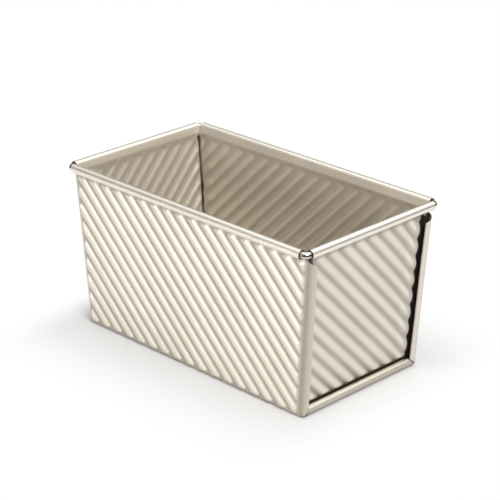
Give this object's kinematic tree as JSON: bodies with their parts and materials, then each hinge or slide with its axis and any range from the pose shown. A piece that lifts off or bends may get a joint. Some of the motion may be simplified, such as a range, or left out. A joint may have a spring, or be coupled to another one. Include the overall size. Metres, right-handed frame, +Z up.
{
  "type": "pullman loaf pan",
  "caption": "Deep straight-sided loaf pan of diagonally ribbed coated sheet steel, with curled end seams and a rolled, wired rim, open at the top, for baking sandwich loaves.",
  "frame": {"origin": "middle of the flat floor, on the table", "axes": "+X along the length, +Y across to one long wall, +Z up out of the mouth"},
  "size_m": [0.2102, 0.1178, 0.11],
  "materials": {
    "coated_sheet": "pale champagne non-stick coating on steel sheet, satin",
    "rim_wire": "bright plated wire"
  },
  "bodies": {
    "root": {"trough": "coated_sheet", "end_panel_right": "coated_sheet", "end_panel_left": "coated_sheet", "rim_wire": "rim_wire"}
  },
  "joints": []
}
